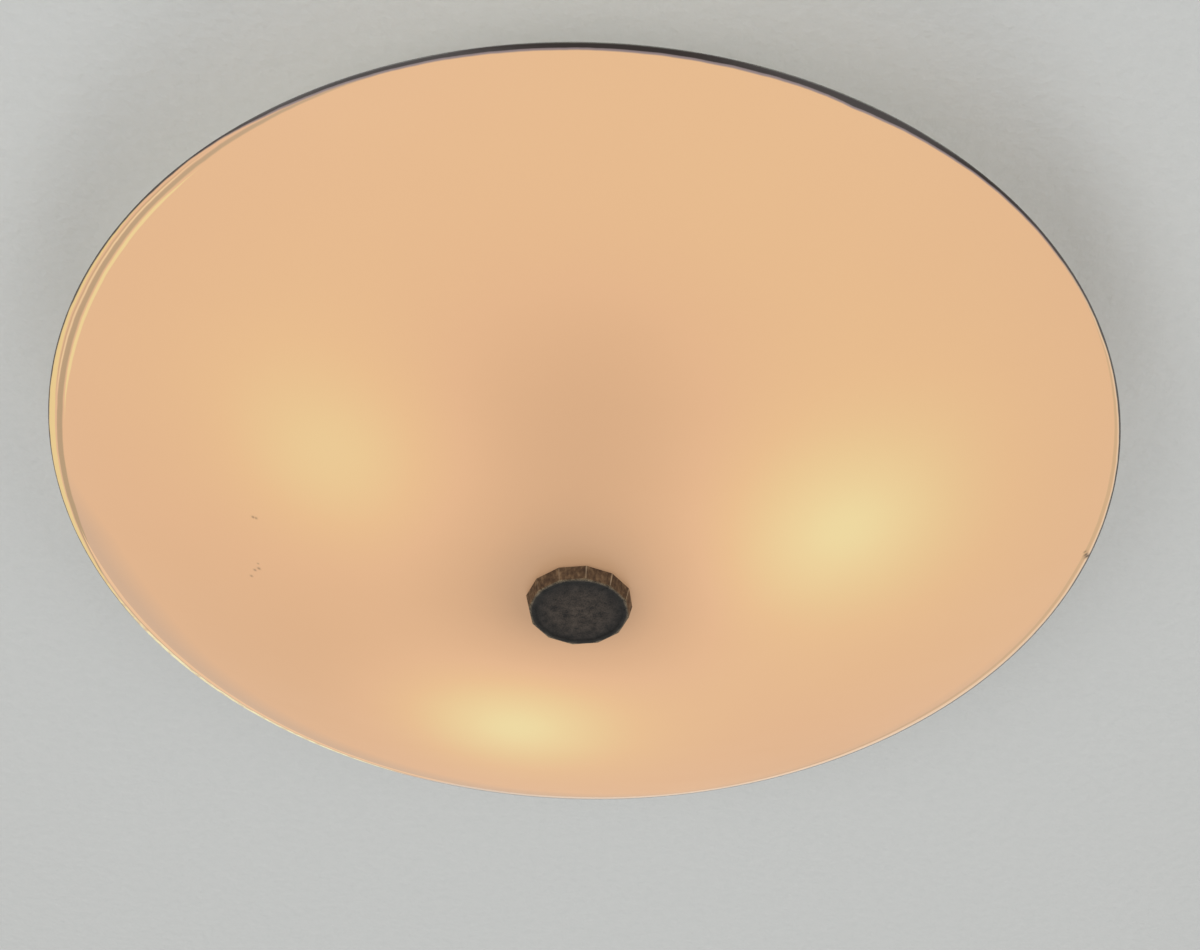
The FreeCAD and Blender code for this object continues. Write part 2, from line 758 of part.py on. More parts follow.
def holder_lead(number):
    """Sleeved pair from the terminal block to one lampholder, in the first lamp's frame."""
    level = -lead_level
    angle = math.radians(TURN * number / lamps)
    out = V(math.cos(angle), math.sin(angle), 0)
    above = out * lead_in_at + UP * level
    pole = (number + 1) % lamps + 1
    side = pole_places()[pole]
    start = V(block_in + lead_in_block, side, level)
    straight = V(block_in - lead_free, side, level)
    slack = above + out * lead_slack - UP * lead_drop
    end = V(above.x, above.y, lead_end_z)
    points = [start, straight] + lead_middles[number] + [above, slack, end]
    return put(lead_tube(points, lead_r), turn=first_lamp_at)


def earth_lead():
    """Earth lead from the block's last pole to the earth tag."""
    side = pole_places()[0]
    start = V(block_in + lead_in_block, side, -lead_level)
    middle = -pan_t - lug_barrel_r
    end = earth_at + V(0, lug_reach + lug_barrel_l / 2 + lead_play, middle)
    last_bend = earth_at + V(0, earth_straight, middle)
    points = [start] + earth_middles + [last_bend, end]
    return put(lead_tube(points, earth_lead_r), turn=first_lamp_at)


# ---------------------------------------------------------------- write the pieces
def main():
    """Builds every piece and writes its STEP file."""
    os.makedirs("parts", exist_ok=True)
    pieces = {
        "pan": pan(),
        "lamp_frame": lamp_frame(),
        "pan_studs": pan_studs(),
        "foot_washers": foot_washers(),
        "foot_nuts": foot_nuts(),
        "bracket_screws": bracket_screws(),
        "bracket_nuts": bracket_nuts(),
        "holder_screws": holder_screws(),
        "centre_rod": ring(rod_r, 0, rod_low, rod_top),
        "rod_nuts": rod_nuts(),
        "rod_washers": rod_washers(),
        "spacer_sleeve": sleeve(),
        "cup_washer": ring(cup_r, rod_r + hole_play, cup_low, cup_low + cup_t),
        "upper_pad": upper_pad(),
        "glass_dish": glass_dish(),
        "lower_pad": lower_pad(),
        "knob": knob(),
        "knob_insert": knob_insert(),
        "terminal_block": terminal_block(),
        "terminal_tubes": terminal_tubes(),
        "terminal_screws": terminal_screws(),
        "block_stud": block_stud(),
        "block_nut": block_nut(),
        "earth_stud": earth_stud(),
        "earth_lug": earth_lug(),
        "earth_nut": earth_nut(),
        "earth_lead": earth_lead(),
        "cable_bush": cable_bush(),
    }
    for number in range(lamps):
        name = str(number + 1)
        pieces["lamp_bracket_" + name] = lamp_bracket(number)
        pieces["holder_body_" + name] = lamp_place(holder_body(), number)
        pieces["holder_shell_" + name] = lamp_place(holder_shell(), number)
        pieces["holder_contact_" + name] = lamp_place(holder_contact(), number)
        pieces["holder_lead_" + name] = holder_lead(number)
        pieces["bulb_glass_" + name] = lamp_place(bulb_glass(), number)
        pieces["bulb_cap_" + name] = lamp_place(bulb_cap(), number)
        pieces["bulb_insulator_" + name] = lamp_place(bulb_insulator(), number)
        pieces["bulb_tip_" + name] = lamp_place(bulb_tip(), number)
        pieces["bulb_filament_" + name] = lamp_place(bulb_filament(), number)
    for name, shape in pieces.items():
        shape.exportStep("parts/" + name + ".step")
        state = "valid" if shape.isValid() else "NOT VALID"
        print(name, len(shape.Solids), "solid(s)", state, round(shape.Volume))
    print("rim at", round(rim_z, 2), "lamps at", round(lamp_z, 2), "globes", globe_at)
    print("lowest point", round(knob_low, 2))
    print("lip at", round(lip_z, 2), "rod", round(rod_low, 2), "to", round(rod_top, 2))


main()
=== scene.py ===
# %% [markdown]
# # A flush mount ceiling light, seen from below
#
# The light is a shallow dish of satin glass that a small twelve-sided bronze knob
# holds up against a steel pan on the ceiling. The shapes and joints were made in a
# CAD program, and this lesson dresses them: it makes the glass and the knob anew
# with finer edges, and gives every other piece its own finish.

import json
import math

import bpy
from mathutils import Matrix, Vector


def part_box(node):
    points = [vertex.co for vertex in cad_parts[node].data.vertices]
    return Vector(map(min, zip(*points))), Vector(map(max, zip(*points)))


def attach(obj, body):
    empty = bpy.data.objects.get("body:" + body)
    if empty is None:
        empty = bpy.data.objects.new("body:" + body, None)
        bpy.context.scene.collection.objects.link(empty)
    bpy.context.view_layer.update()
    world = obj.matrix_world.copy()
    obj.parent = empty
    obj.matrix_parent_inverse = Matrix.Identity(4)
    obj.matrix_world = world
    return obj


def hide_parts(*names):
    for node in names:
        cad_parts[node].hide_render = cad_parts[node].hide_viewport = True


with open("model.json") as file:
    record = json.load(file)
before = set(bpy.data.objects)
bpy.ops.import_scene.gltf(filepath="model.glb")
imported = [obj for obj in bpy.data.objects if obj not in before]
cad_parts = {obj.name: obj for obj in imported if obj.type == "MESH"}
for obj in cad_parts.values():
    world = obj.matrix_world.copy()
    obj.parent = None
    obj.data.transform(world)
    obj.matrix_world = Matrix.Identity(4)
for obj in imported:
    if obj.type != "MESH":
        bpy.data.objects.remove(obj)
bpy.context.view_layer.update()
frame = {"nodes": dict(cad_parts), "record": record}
print("pieces from the CAD:", len(frame["nodes"]))

# %% [markdown]
# The dish and the knob are measured on the CAD pieces, so that hardly anything here
# repeats a size that the CAD already holds. The dish is a slice of a ball. Its radius
# at the rim and its depth give the ball's radius, and the edge of the hole in its
# middle, which is its lowest part, gives the height of the ball's centre.

# %% Measure the dish and the knob
dish_low, dish_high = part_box("glass_dish")
rim_r = min(dish_high.x, dish_high.y, -dish_low.x, -dish_low.y)
dish_depth = 0.073
glass_t = 0.005
hole_r = 0.008
ball_r = (rim_r**2 + dish_depth**2) / (2 * dish_depth)
ball_z = dish_low.z + math.sqrt(ball_r**2 - hole_r**2)

knob_low, knob_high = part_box("knob")


def farthest_corner(node, level, slack=1e-5):
    """The point of a CAD piece farthest from the middle, at one level."""
    points = [v.co for v in frame["nodes"][node].data.vertices]
    near = [p for p in points if abs(p.z - level) < slack]
    return max(near, key=lambda p: math.hypot(p.x, p.y))


corner = farthest_corner("knob", knob_high.z)
knob_top_r = math.hypot(corner.x, corner.y)
knob_turn = math.atan2(corner.y, corner.x)
print("rim radius", round(rim_r, 4), "ball radius", round(ball_r, 4), "at", round(ball_z, 4))
print("knob corner radius", round(knob_top_r, 4), "at", round(math.degrees(knob_turn), 1))

# %% [markdown]
# The camera stands under the light and to one side, and looks up at the dish, so
# that its round rim shows as a wide ellipse. The place and the lens were worked out
# from that ellipse and from the corners of the knob. The camera is also rolled by
# a degree and a half, as a hand-held one often is. A matrix says this most plainly:
# its columns are the camera's right, its up, and the way it looks away from.

# %% Set up the camera
view_rise = math.radians(44.284)
view_roll = 0.0265
eye = Vector((0.0078, -0.7803, -0.8111))

forward = Vector((0, math.cos(view_rise), math.sin(view_rise)))
side = Vector((1, 0, 0))
above = side.cross(forward)
right = math.cos(view_roll) * side + math.sin(view_roll) * above
up = math.cos(view_roll) * above - math.sin(view_roll) * side

lens = bpy.data.cameras.new("camera")
lens.lens = 69.0
lens.sensor_width = 36.0
lens.clip_start = 0.01
camera = bpy.data.objects.new("camera", lens)
bpy.context.scene.collection.objects.link(camera)
turn = Matrix((right, up, -forward)).transposed().to_4x4()
camera.matrix_world = Matrix.Translation(eye) @ turn
bpy.context.scene.camera = camera
print("camera at", [round(x, 3) for x in camera.location])

# %% [markdown]
# Finishes are built from nodes. Three small helpers keep them readable: one starts
# a material, one adds a node and fills its sockets, and one turns a colour as a
# screen shows it into the linear numbers that a renderer needs.


# %% Helpers for finishes
def new_finish(name):
    """A material with its one shader, ready for nodes."""
    made = bpy.data.materials.new(name)
    made.use_nodes = True
    return made, made.node_tree, made.node_tree.nodes["Principled BSDF"]


def add(tree, kind, feeds=None, **options):
    """One node. Feeds fill its sockets, by name or number, with a value or a link."""
    node = tree.nodes.new("ShaderNode" + kind)
    for option, value in options.items():
        setattr(node, option, value)
    for socket, value in (feeds or {}).items():
        if isinstance(value, bpy.types.NodeSocket):
            tree.links.new(value, node.inputs[socket])
        else:
            node.inputs[socket].default_value = value
    return node


def tint(red, green, blue):
    """A screen colour, 0 to 255, as a linear colour."""
    parts = [c / 255 for c in (red, green, blue)]
    return (*[((c + 0.055) / 1.055) ** 2.4 if c > 0.04 else c / 12.92 for c in parts], 1.0)


# %% [markdown]
# More helpers for the sums between nodes. A finish mostly says how strong something
# is at a place, such as wear or dust, and then mixes two colours by it.


# %% Helpers for sums and mixes
def maths(tree, how, a, b=0.0, clamp=False):
    """The result of one sum."""
    return add(tree, "Math", {0: a, 1: b}, operation=how, use_clamp=clamp).outputs[0]


def mix(tree, share, first, second):
    """Two colours mixed: none of the second at 0, only the second at 1."""
    node = add(tree, "Mix", {0: share, 6: first, 7: second}, data_type="RGBA")
    return node.outputs[2]


def spread(tree, share, low, high):
    """A share of 0 to 1 spread between two values."""
    return add(tree, "MapRange", {"Value": share, "To Min": low, "To Max": high}).outputs[0]


def between(tree, value, start, end, low=0.0, high=1.0):
    """The low value where another has reached its start, the high one at its end."""
    feeds = {"Value": value, "From Min": start, "From Max": end, "To Min": low, "To Max": high}
    return add(tree, "MapRange", feeds).outputs[0]


def ramp(tree, share, stops):
    """A row of colours along a share of 0 to 1."""
    node = add(tree, "ValToRGB", {"Fac": share})
    bar = node.color_ramp.elements
    while len(bar) < len(stops):
        bar.new(0.5)
    for element, (at, colour) in zip(bar, stops):
        element.position = at
        element.color = colour
    return node.outputs[0]


def grain(tree, place, size, detail=4.0, stretch=(1, 1, 1)):
    """Cloudy noise with patches of about that size in metres."""
    scaled = add(tree, "VectorMath", {0: place, 1: stretch}, operation="MULTIPLY")
    feeds = {"Vector": scaled.outputs[0], "Scale": 1 / size, "Detail": detail}
    return add(tree, "TexNoise", feeds).outputs["Fac"]


def scaled_colour(tree, colour, factor):
    """A colour made brighter or darker by a factor."""
    feeds = {0: colour, "Scale": factor}
    return add(tree, "VectorMath", feeds, operation="SCALE").outputs[0]


def relief(tree, shader, height, depth):
    """Raises the surface by a height of 0 to 1 times the depth in metres."""
    bump = add(tree, "Bump", {"Height": height, "Strength": 1.0, "Distance": depth})
    tree.links.new(bump.outputs[0], shader.inputs["Normal"])


def feed(tree, shader, **sockets):
    """Links or sets the shader's sockets, named with _ for a space."""
    for name, value in sockets.items():
        socket = shader.inputs[name.replace("_", " ")]
        if isinstance(value, bpy.types.NodeSocket):
            tree.links.new(value, socket)
        else:
            socket.default_value = value


# %% [markdown]
# A ceiling light hangs under its floor, so the stage is a plain pale ceiling just
# above the pan. It shows to the camera only from below, and it lets light through
# from above, so that the light can be looked at from every side. Below it, the
# ceiling still takes the dish's shadow.

# %% The ceiling as a stage
ceiling_skin, tree, shader = new_finish("pale_ceiling")
place = add(tree, "TexCoord").outputs["Object"]
plaster = grain(tree, place, 0.006, 6.0)
feed(tree, shader, Base_Color=mix(tree, plaster, tint(203, 205, 203), tint(209, 210, 208)))
feed(tree, shader, Roughness=0.9, Specular_IOR_Level=0.1)
relief(tree, shader, plaster, 0.0012)

ray = add(tree, "LightPath").outputs
behind = add(tree, "NewGeometry").outputs["Backfacing"]
unseen = maths(tree, "ADD", ray["Is Diffuse Ray"], ray["Is Shadow Ray"])
unseen = maths(tree, "ADD", unseen, behind, clamp=True)
clear = add(tree, "BsdfTransparent").outputs[0]
shown = add(tree, "MixShader", {0: unseen, 1: shader.outputs[0], 2: clear}).outputs[0]
tree.links.new(shown, tree.nodes["Material Output"].inputs["Surface"])

ceiling_z = 0.0006
ceiling_half = 30.0
ceiling_mesh = bpy.data.meshes.new("ceiling")
ends = [(-1, -1), (-1, 1), (1, 1), (1, -1)]
corners = [(x * ceiling_half, y * ceiling_half, ceiling_z) for x, y in ends]
ceiling_mesh.from_pydata(corners, [], [(0, 1, 2, 3)])
ceiling_mesh.materials.append(ceiling_skin)
ceiling = bpy.data.objects.new("ceiling", ceiling_mesh)
bpy.context.scene.collection.objects.link(ceiling)
print("ceiling faces", "down" if ceiling_mesh.polygons[0].normal.z < 0 else "up")

# %% [markdown]
# The world is an even pale grey that lights everything at half of the plain level.
# Wide soft lamps give the other half from three sides below, and again from above
# for the views that look down on the pan. At the plain level a colour renders
# about as it is written.

# %% The world
half_level = (0.5, 0.5, 0.5, 1.0)
world = bpy.data.worlds.new("studio")
world.use_nodes = True
bpy.context.scene.world = world
tree = world.node_tree
ray = add(tree, "LightPath").outputs
seen = maths(tree, "ADD", ray["Is Camera Ray"], ray["Is Glossy Ray"])
seen = maths(tree, "ADD", seen, ray["Is Transmission Ray"], clamp=True)
air = tree.nodes["Background"]
tree.links.new(mix(tree, seen, half_level, tint(214, 215, 214)), air.inputs["Color"])
air.inputs["Strength"].default_value = 1.0
bpy.context.scene.view_settings.view_transform = "Standard"
print("world:", world.name, "at", half_level[0])


# %% [markdown]
# Each lamp is placed by two angles in degrees, the way round from the +X side and how
# high it stands above the middle of the light, and turned to face that middle.


# %% The lamps
lamp_away = 2.2
lamp_side = 1.3
lit_middle = Vector((0, 0, -0.07))


def soft_lamp(name, round_at, rise, watts):
    """A square soft lamp that faces the middle of the light."""
    data = bpy.data.lights.new(name, "AREA")
    data.size = lamp_side
    data.energy = watts
    lamp = bpy.data.objects.new(name, data)
    bpy.context.scene.collection.objects.link(lamp)
    a, e = math.radians(round_at), math.radians(rise)
    out = Vector((math.cos(a) * math.cos(e), math.sin(a) * math.cos(e), math.sin(e)))
    lamp.location = out * lamp_away + lit_middle
    lamp.rotation_mode = "QUATERNION"
    lamp.rotation_quaternion = out.to_track_quat("Z", "Y")


soft_lamp("lamp_near_left", 225, -42, 13.0)
soft_lamp("lamp_near_right", 320, -38, 9.0)
soft_lamp("lamp_far", 85, -48, 10.0)
soft_lamp("lamp_over_left", 200, 50, 15.0)
soft_lamp("lamp_over_right", 20, 50, 8.0)

# %% [markdown]
# ## The satin glass dish
#
# The real dish is slumped glass, ground square to its wall at the rim and etched
# satin, but for a narrow border. It could be a sphere cut by a modifier, but a
# profile turned round the middle gives clean rings of faces, and exact control of
# the ground edge. The profile runs from the hole along the outer face, round the
# ground rim and back along the inner face.


# %% The dish's profile
def ball_height(radius, r):
    """The height of a ball's lower side at a distance r from the middle."""
    return ball_z - math.sqrt(radius**2 - r**2)


face_steps = 72
lean = math.asin(rim_r / ball_r)


def on_ground_end(inwards, along):
    """A point by its depth in the glass and its way in from the end, in millimetres."""
    deep = ball_r - inwards / 1000
    a = lean - along / 1000 / deep
    return deep * math.sin(a), ball_z - deep * math.cos(a)


def steps_between(start, end):
    """Radii in even steps from one to another."""
    return [start + (end - start) * i / face_steps for i in range(face_steps + 1)]


edge_round = 0.4
last_step = 0.0008
outer_end, outer_end_z = on_ground_end(0, edge_round)
outer_face = steps_between(hole_r, outer_end - last_step)
profile = [(r, ball_height(ball_r, r), "satin") for r in outer_face]
profile.append((outer_end, outer_end_z, "satin"))
end_rows = [(0.06, 0.17), (0.17, 0.06), (edge_round, 0), (1.5, 0), (2.5, 0), (3.5, 0)]
end_rows += [(4.6, 0), (4.9, 0.1)]
profile += [(*on_ground_end(inwards, along), "edge") for inwards, along in end_rows]
inner_end = on_ground_end(glass_t * 1000, edge_round)[0]
inner_face = steps_between(inner_end, hole_r)
profile += [(r, ball_height(ball_r - glass_t, r), "satin") for r in inner_face]
profile.append((hole_r, ball_height(ball_r, hole_r), "edge"))
print("profile points:", len(profile), "widest", round(max(r for r, _, _ in profile), 5))

# %% [markdown]
# One helper turns a profile into a mesh. The dish closes on itself, and each strip of
# faces takes the finish of the profile point where it ends.


# %% Turn a profile round the middle
def turned_mesh(name, rows, around, finishes):
    """Rings of points joined by faces. A row is radius, height and finish."""
    points = []
    for r, z, _ in rows:
        for i in range(around):
            a = math.tau * i / around
            points.append((r * math.cos(a), r * math.sin(a), z))
    faces, kinds = [], []
    for ring in range(len(rows) - 1):
        for i in range(around):
            j = (i + 1) % around
            low, high = ring * around, (ring + 1) * around
            faces.append((low + i, high + i, high + j, low + j))
            kinds.append(finishes.index(rows[ring + 1][2]))
    made = bpy.data.meshes.new(name)
    made.from_pydata(points, [], faces)
    made.polygons.foreach_set("material_index", kinds)
    return made


def place_mesh(name, data, body, node, finishes):
    """Puts a finished mesh in the scene, on its body, in the place of a CAD piece."""
    for finish in finishes:
        data.materials.append(finish)
    made = bpy.data.objects.new(name, data)
    bpy.context.scene.collection.objects.link(made)
    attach(made, body)
    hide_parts(node)


# %% [markdown]
# Three bulbs shine through the satin glass as soft spots, with painted shade round
# the knob and between the bulbs. A real light would be traced through frosted glass,
# which is slow and noisy. Here the glass itself gives off part of its colour, a painted
# glow, by the distance of a place to each spot, so the glow stays where it is from any side.
# `bell` falls off like a soft shadow, `spot` has a narrow peak and a long tail. Spots
# and shades are places in the plan, with a strength, and shades also have a width.

# %% How strong the glow is
satin_glass, tree, shader = new_finish("satin_glass")
on_glass = add(tree, "TexCoord").outputs["Object"]
flat_place = add(tree, "VectorMath", {0: on_glass, 1: (1, 1, 0)}, operation="MULTIPLY").outputs[0]


def gap_to(tree, place, x, y):
    """The distance of a place to a point of the plan."""
    ends = {0: place, 1: (x, y, 0)}
    return add(tree, "VectorMath", ends, operation="DISTANCE").outputs["Value"]


def bell(tree, gap, width):
    """1 in the middle and a soft fall to 0 over about twice the width."""
    ratio = maths(tree, "DIVIDE", gap, width)
    fall = maths(tree, "MULTIPLY", maths(tree, "POWER", ratio, 2.0), -1.0)
    return maths(tree, "EXPONENT", fall)


spot_width = 0.07
spot_fall = -2.1


def spot(tree, gap, width):
    """1 in the middle, with a long tail."""
    ratio = maths(tree, "DIVIDE", gap, width)
    room = maths(tree, "ADD", maths(tree, "POWER", ratio, 2.0), 1.0)
    return maths(tree, "POWER", room, spot_fall)


bright_spots = [(-0.0311, 0.1123, 0.77), (-0.1082, -0.069, 0.36), (0.1173, -0.0331, 0.57)]
# painted shade round the knob and between the bulbs, and one painted lighter patch near the rim
shades = [(0.0, 0.0, 0.055, -0.46), (0.002, -0.104, 0.066, -0.24), (-0.08, 0.09, 0.15, -0.21)]
shades += [(0.06, -0.24, 0.14, 0.09), (0.14, 0.2, 0.08, -0.08)]
glow = 0.39
for x, y, strength in bright_spots:
    shine = spot(tree, gap_to(tree, flat_place, x, y), spot_width)
    glow = maths(tree, "ADD", glow, maths(tree, "MULTIPLY", shine, strength))
for x, y, width, strength in shades:
    shade = bell(tree, gap_to(tree, flat_place, x, y), width)
    glow = maths(tree, "ADD", glow, maths(tree, "MULTIPLY", shade, strength))
haze = spread(tree, grain(tree, on_glass, 0.05, 3.0), -0.02, 0.02)
glow = maths(tree, "ADD", glow, haze, clamp=True)
print("bright spots:", len(bright_spots), "dull places:", len(shades))

# %% [markdown]
# The colour follows the glow: peach where the glass is dull, through amber to a pale
# lemon over the bulbs. Near the rim it turns a little pinker.

# %% The colour of the glow
warm_stops = [
    (0.0, tint(198, 157, 121)),
    (0.15, tint(215, 170, 130)),
    (0.35, tint(229, 182, 139)),
    (0.5, tint(234, 190, 141)),
    (0.65, tint(236, 200, 146)),
    (0.85, tint(239, 211, 154)),
    (1.0, tint(241, 221, 162)),
]
warmth = ramp(tree, glow, warm_stops)
outwards = maths(tree, "DIVIDE", gap_to(tree, flat_place, 0, 0), rim_r)
pinker = maths(tree, "MULTIPLY", maths(tree, "POWER", outwards, 4.0), 0.3)
warmth = mix(tree, pinker, warmth, tint(232, 187, 150))
print("colours of the glow:", len(warm_stops))


# %% [markdown]
# Near the rim the real glass isn't etched. There it bends the light of the inside
# and of the room into narrow bands: a dark one along the edge, a cream and a tan one
# on the left, and a warm one behind a broken bright line on the far left. Traced
# glass would need many more samples for the same lines. So they are painted by two
# measures, the depth in from the rim in millimetres and the way round in degrees,
# and their widths change round the rim as they do on the real dish. A ramp holds
# such widths as greys, as shares of the widest.


# %% Measures for the rim
widest = 40.0


def width_round(tree, way, stops):
    """A width that changes round the rim, from pairs of degrees and millimetres."""
    greys = [(degrees / 360, (*[wide / widest] * 3, 1.0)) for degrees, wide in stops]
    return maths(tree, "MULTIPLY", ramp(tree, way, greys), widest)


def colour_round(tree, way, stops):
    """A colour that changes round the rim, from pairs of degrees and colour."""
    return ramp(tree, way, [(degrees / 360, colour) for degrees, colour in stops])


def within(tree, depth, width, soft=0.35):
    """1 from the rim to that width, and 0 farther in."""
    return between(tree, maths(tree, "SUBTRACT", width, depth), 0.0, soft)


glass_axes = add(tree, "SeparateXYZ", {0: on_glass}).outputs
way = maths(tree, "ARCTAN2", glass_axes[1], glass_axes[0])
way = maths(tree, "FRACT", maths(tree, "ADD", maths(tree, "DIVIDE", way, math.tau), 1.0))
wobble = spread(tree, grain(tree, on_glass, 0.012, 3.0), -0.3, 0.3)
depth = maths(tree, "MULTIPLY", maths(tree, "SUBTRACT", 1.0, outwards), rim_r * 1000)
depth = maths(tree, "ADD", depth, wobble)
print("one degree along the rim:", round(math.tau * rim_r * 1000 / 360, 2), "mm")

# %% Colours of the bands
peach = tint(229, 183, 143)
# painted shade along the far half of the rim, where the glass is darker
far_rim_shade = tint(212, 174, 142)
tan_colours = [
    (0, tint(213, 175, 133)),
    (60, tint(204, 168, 131)),
    (160, tint(182, 152, 116)),
    (250, tint(196, 164, 130)),
    (360, tint(213, 175, 133)),
]
cream_colours = [
    (118, tint(252, 243, 198)),
    (150, tint(250, 236, 190)),
    (162, tint(238, 208, 146)),
    (230, tint(234, 200, 140)),
]
fringe_colours = [
    (0, tint(236, 205, 168)),
    (60, tint(230, 192, 152)),
    (84, tint(216, 179, 142)),
    (228, tint(142, 126, 124)),
    (320, tint(144, 128, 128)),
    (334, tint(236, 205, 168)),
]
dark_colours = [
    (0, tint(92, 86, 84)),
    (90, tint(112, 102, 94)),
    (150, tint(84, 74, 68)),
    (232, tint(74, 66, 64)),
    (246, tint(50, 42, 39)),
    (312, tint(52, 44, 42)),
    (330, tint(84, 77, 76)),
]
tan = colour_round(tree, way, tan_colours)
cream = colour_round(tree, way, cream_colours)
fringe = colour_round(tree, way, fringe_colours)
dark = colour_round(tree, way, dark_colours)

# %% [markdown]
# Each width was read off the real rim every few degrees, where a band grows, shrinks
# or ends. The fringe is the soft inner side of the dark band, and the tan band has an
# inner and an outer edge of its own.

# %% Widths of the bands
dark_widths = [(0, 1.3), (20, 1.5), (45, 2.4), (70, 3.5), (90, 5), (105, 4), (112, 1), (122, 0.4)]
dark_widths += [(152, 0.5), (158, 0.9), (231, 0.9), (240, 1.4), (262, 1.9), (284, 2.2), (293, 2.3)]
dark_widths += [(295, 2.9), (301, 2.3), (310, 1.5), (320, 1.1), (335, 1.1), (360, 1.3)]
fringe_widths = [(0, 0.7), (20, 1.8), (45, 4.5), (70, 6), (90, 9), (105, 8), (114, 0), (228, 0)]
fringe_widths += [(240, 0.7), (284, 0.9), (310, 0.6), (325, 0.4), (360, 0.7)]
cream_widths = [(98, 0), (106, 2), (114, 3.2), (126, 4.4), (146, 4.2), (156, 3), (165, 2.9)]
cream_widths += [(174, 3.5), (190, 3.9), (203, 2.2), (215, 1.6), (231, 0)]
tan_in_widths = [(0, 4.6), (20, 6.6), (45, 11), (70, 12), (84, 0), (158, 0), (166, 5.2)]
tan_in_widths += [(174, 7.3), (190, 7.8), (203, 6.5), (220, 5.0), (236, 3.7), (252, 2.2)]
tan_in_widths += [(330, 1.6), (360, 4.6)]
tan_out_widths = [(0, 2.4), (20, 4), (45, 8), (70, 11), (84, 0), (158, 0), (166, 3.8), (190, 5.0)]
tan_out_widths += [(203, 4.3), (220, 3.3), (236, 2.3), (252, 2.2), (330, 1.6), (360, 2.4)]
# how far in the painted shade along the far half of the rim reaches
far_rim_shade_widths = [(0, 0), (16, 10), (35, 19), (76, 20), (92, 30), (108, 33), (160, 33)]
far_rim_shade_widths += [(172, 26), (186, 0)]

dark_in = width_round(tree, way, dark_widths)
fringe_in = maths(tree, "ADD", dark_in, width_round(tree, way, fringe_widths))
cream_in = width_round(tree, way, cream_widths)
tan_in = width_round(tree, way, tan_in_widths)
tan_out = width_round(tree, way, tan_out_widths)
far_rim_shade_in = width_round(tree, way, far_rim_shade_widths)
print("the dull band reaches in", max(wide for _, wide in far_rim_shade_widths), "mm")

# %% [markdown]
# The bands are laid over each other like coats of paint, those that reach farthest in
# first and the dark edge last. Thin lines lie between them, each at its own depth.
# The bright line on the far left is broken, because the ground edge has tiny nicks
# there, and a cloudy noise takes its place here.


# %% Bands along the rim
def line(tree, under, colour, places, widths):
    """A thin line of a colour that follows the rim at its own depth."""
    off = maths(tree, "SUBTRACT", depth, width_round(tree, way, places))
    here = within(tree, maths(tree, "ABSOLUTE", off), width_round(tree, way, widths))
    return mix(tree, here, under, colour)


# the painted shade along the far half of the rim goes on first
far_rim_shade_fade = 18.0
glass_colour = mix(tree, within(tree, depth, far_rim_shade_in, far_rim_shade_fade), warmth, far_rim_shade)
streak_at = [(190, 8.6), (203, 7.5), (220, 5.8), (232, 4.7)]
streak_wide = [(188, 0), (197, 0.85), (222, 0.75), (230, 0)]
glass_colour = line(tree, glass_colour, tint(240, 210, 150), streak_at, streak_wide)
glass_colour = mix(tree, within(tree, depth, tan_in, 0.6), glass_colour, tan)
glass_colour = mix(tree, within(tree, depth, tan_out, 0.5), glass_colour, peach)
inner_line_at = [(190, 4.4), (203, 3.6), (220, 2.7), (232, 1.9)]
inner_line_wide = [(190, 0), (196, 0.4), (224, 0.4), (232, 0)]
glass_colour = line(tree, glass_colour, tint(238, 206, 158), inner_line_at, inner_line_wide)
shade_at = [(190, 3.9), (203, 2.8), (220, 2.1), (232, 1.5)]
glass_colour = line(tree, glass_colour, tint(206, 166, 126), shade_at, inner_line_wide)

# %% The warm band, the broken bright line and the dark edge
warm_at = [(98, 11), (112, 8.5), (126, 7.4), (146, 6.8), (158, 5.6), (168, 5)]
warm_wide = [(98, 0), (108, 2.4), (150, 2.0), (164, 1.4), (172, 0)]
glass_colour = line(tree, glass_colour, tint(239, 195, 152), warm_at, warm_wide)
brown_at = [(110, 4.2), (126, 4.9), (146, 4.7), (158, 3.5)]
brown_wide = [(110, 0), (122, 0.5), (154, 0.5), (164, 0)]
glass_colour = line(tree, glass_colour, tint(206, 164, 118), brown_at, brown_wide)
nicks = spread(tree, grain(tree, on_glass, 0.004, 2.0), -0.7, 2.3)
steady = colour_round(tree, way, [(150, (0, 0, 0, 1)), (166, (1, 1, 1, 1))])
cream_share = maths(tree, "MAXIMUM", nicks, steady, clamp=True)
cream_share = maths(tree, "MULTIPLY", cream_share, within(tree, depth, cream_in))
glass_colour = mix(tree, cream_share, glass_colour, cream)
glass_colour = mix(tree, within(tree, depth, fringe_in, 0.5), glass_colour, fringe)
glass_colour = mix(tree, within(tree, depth, dark_in), glass_colour, dark)
print("nodes in the glass so far:", len(tree.nodes))

# %% [markdown]
# The dish has been handled: there is a small chip in the rim on the right, and a few
# short dark scratches on the left. Each is a few round marks close together: a place
# in the plan, a width and a strength.

# %% The chip and the scratches
marks = [(0.2447, 0.0401, 0.0014, 1.0), (0.2436, 0.0381, 0.0011, 0.9)]
marks += [(0.2425, 0.035, 0.0008, 0.6)]
marks += [(-0.148, -0.0222, 0.0007, 0.6), (-0.1466, -0.0221, 0.0007, 0.5)]
marks += [(-0.1504, 0.0141, 0.0007, 0.55), (-0.1483, 0.0121, 0.0008, 0.55)]
marks += [(-0.1526, 0.0194, 0.0007, 0.5), (-0.1484, 0.0087, 0.0005, 0.45)]
marked = 0.0
for x, y, wide, strength in marks:
    mark = maths(tree, "MULTIPLY", bell(tree, gap_to(tree, flat_place, x, y), wide), strength)
    marked = maths(tree, "MAXIMUM", marked, mark)
glass_colour = mix(tree, marked, glass_colour, tint(84, 70, 60))
print("marks on the glass:", len(marks))
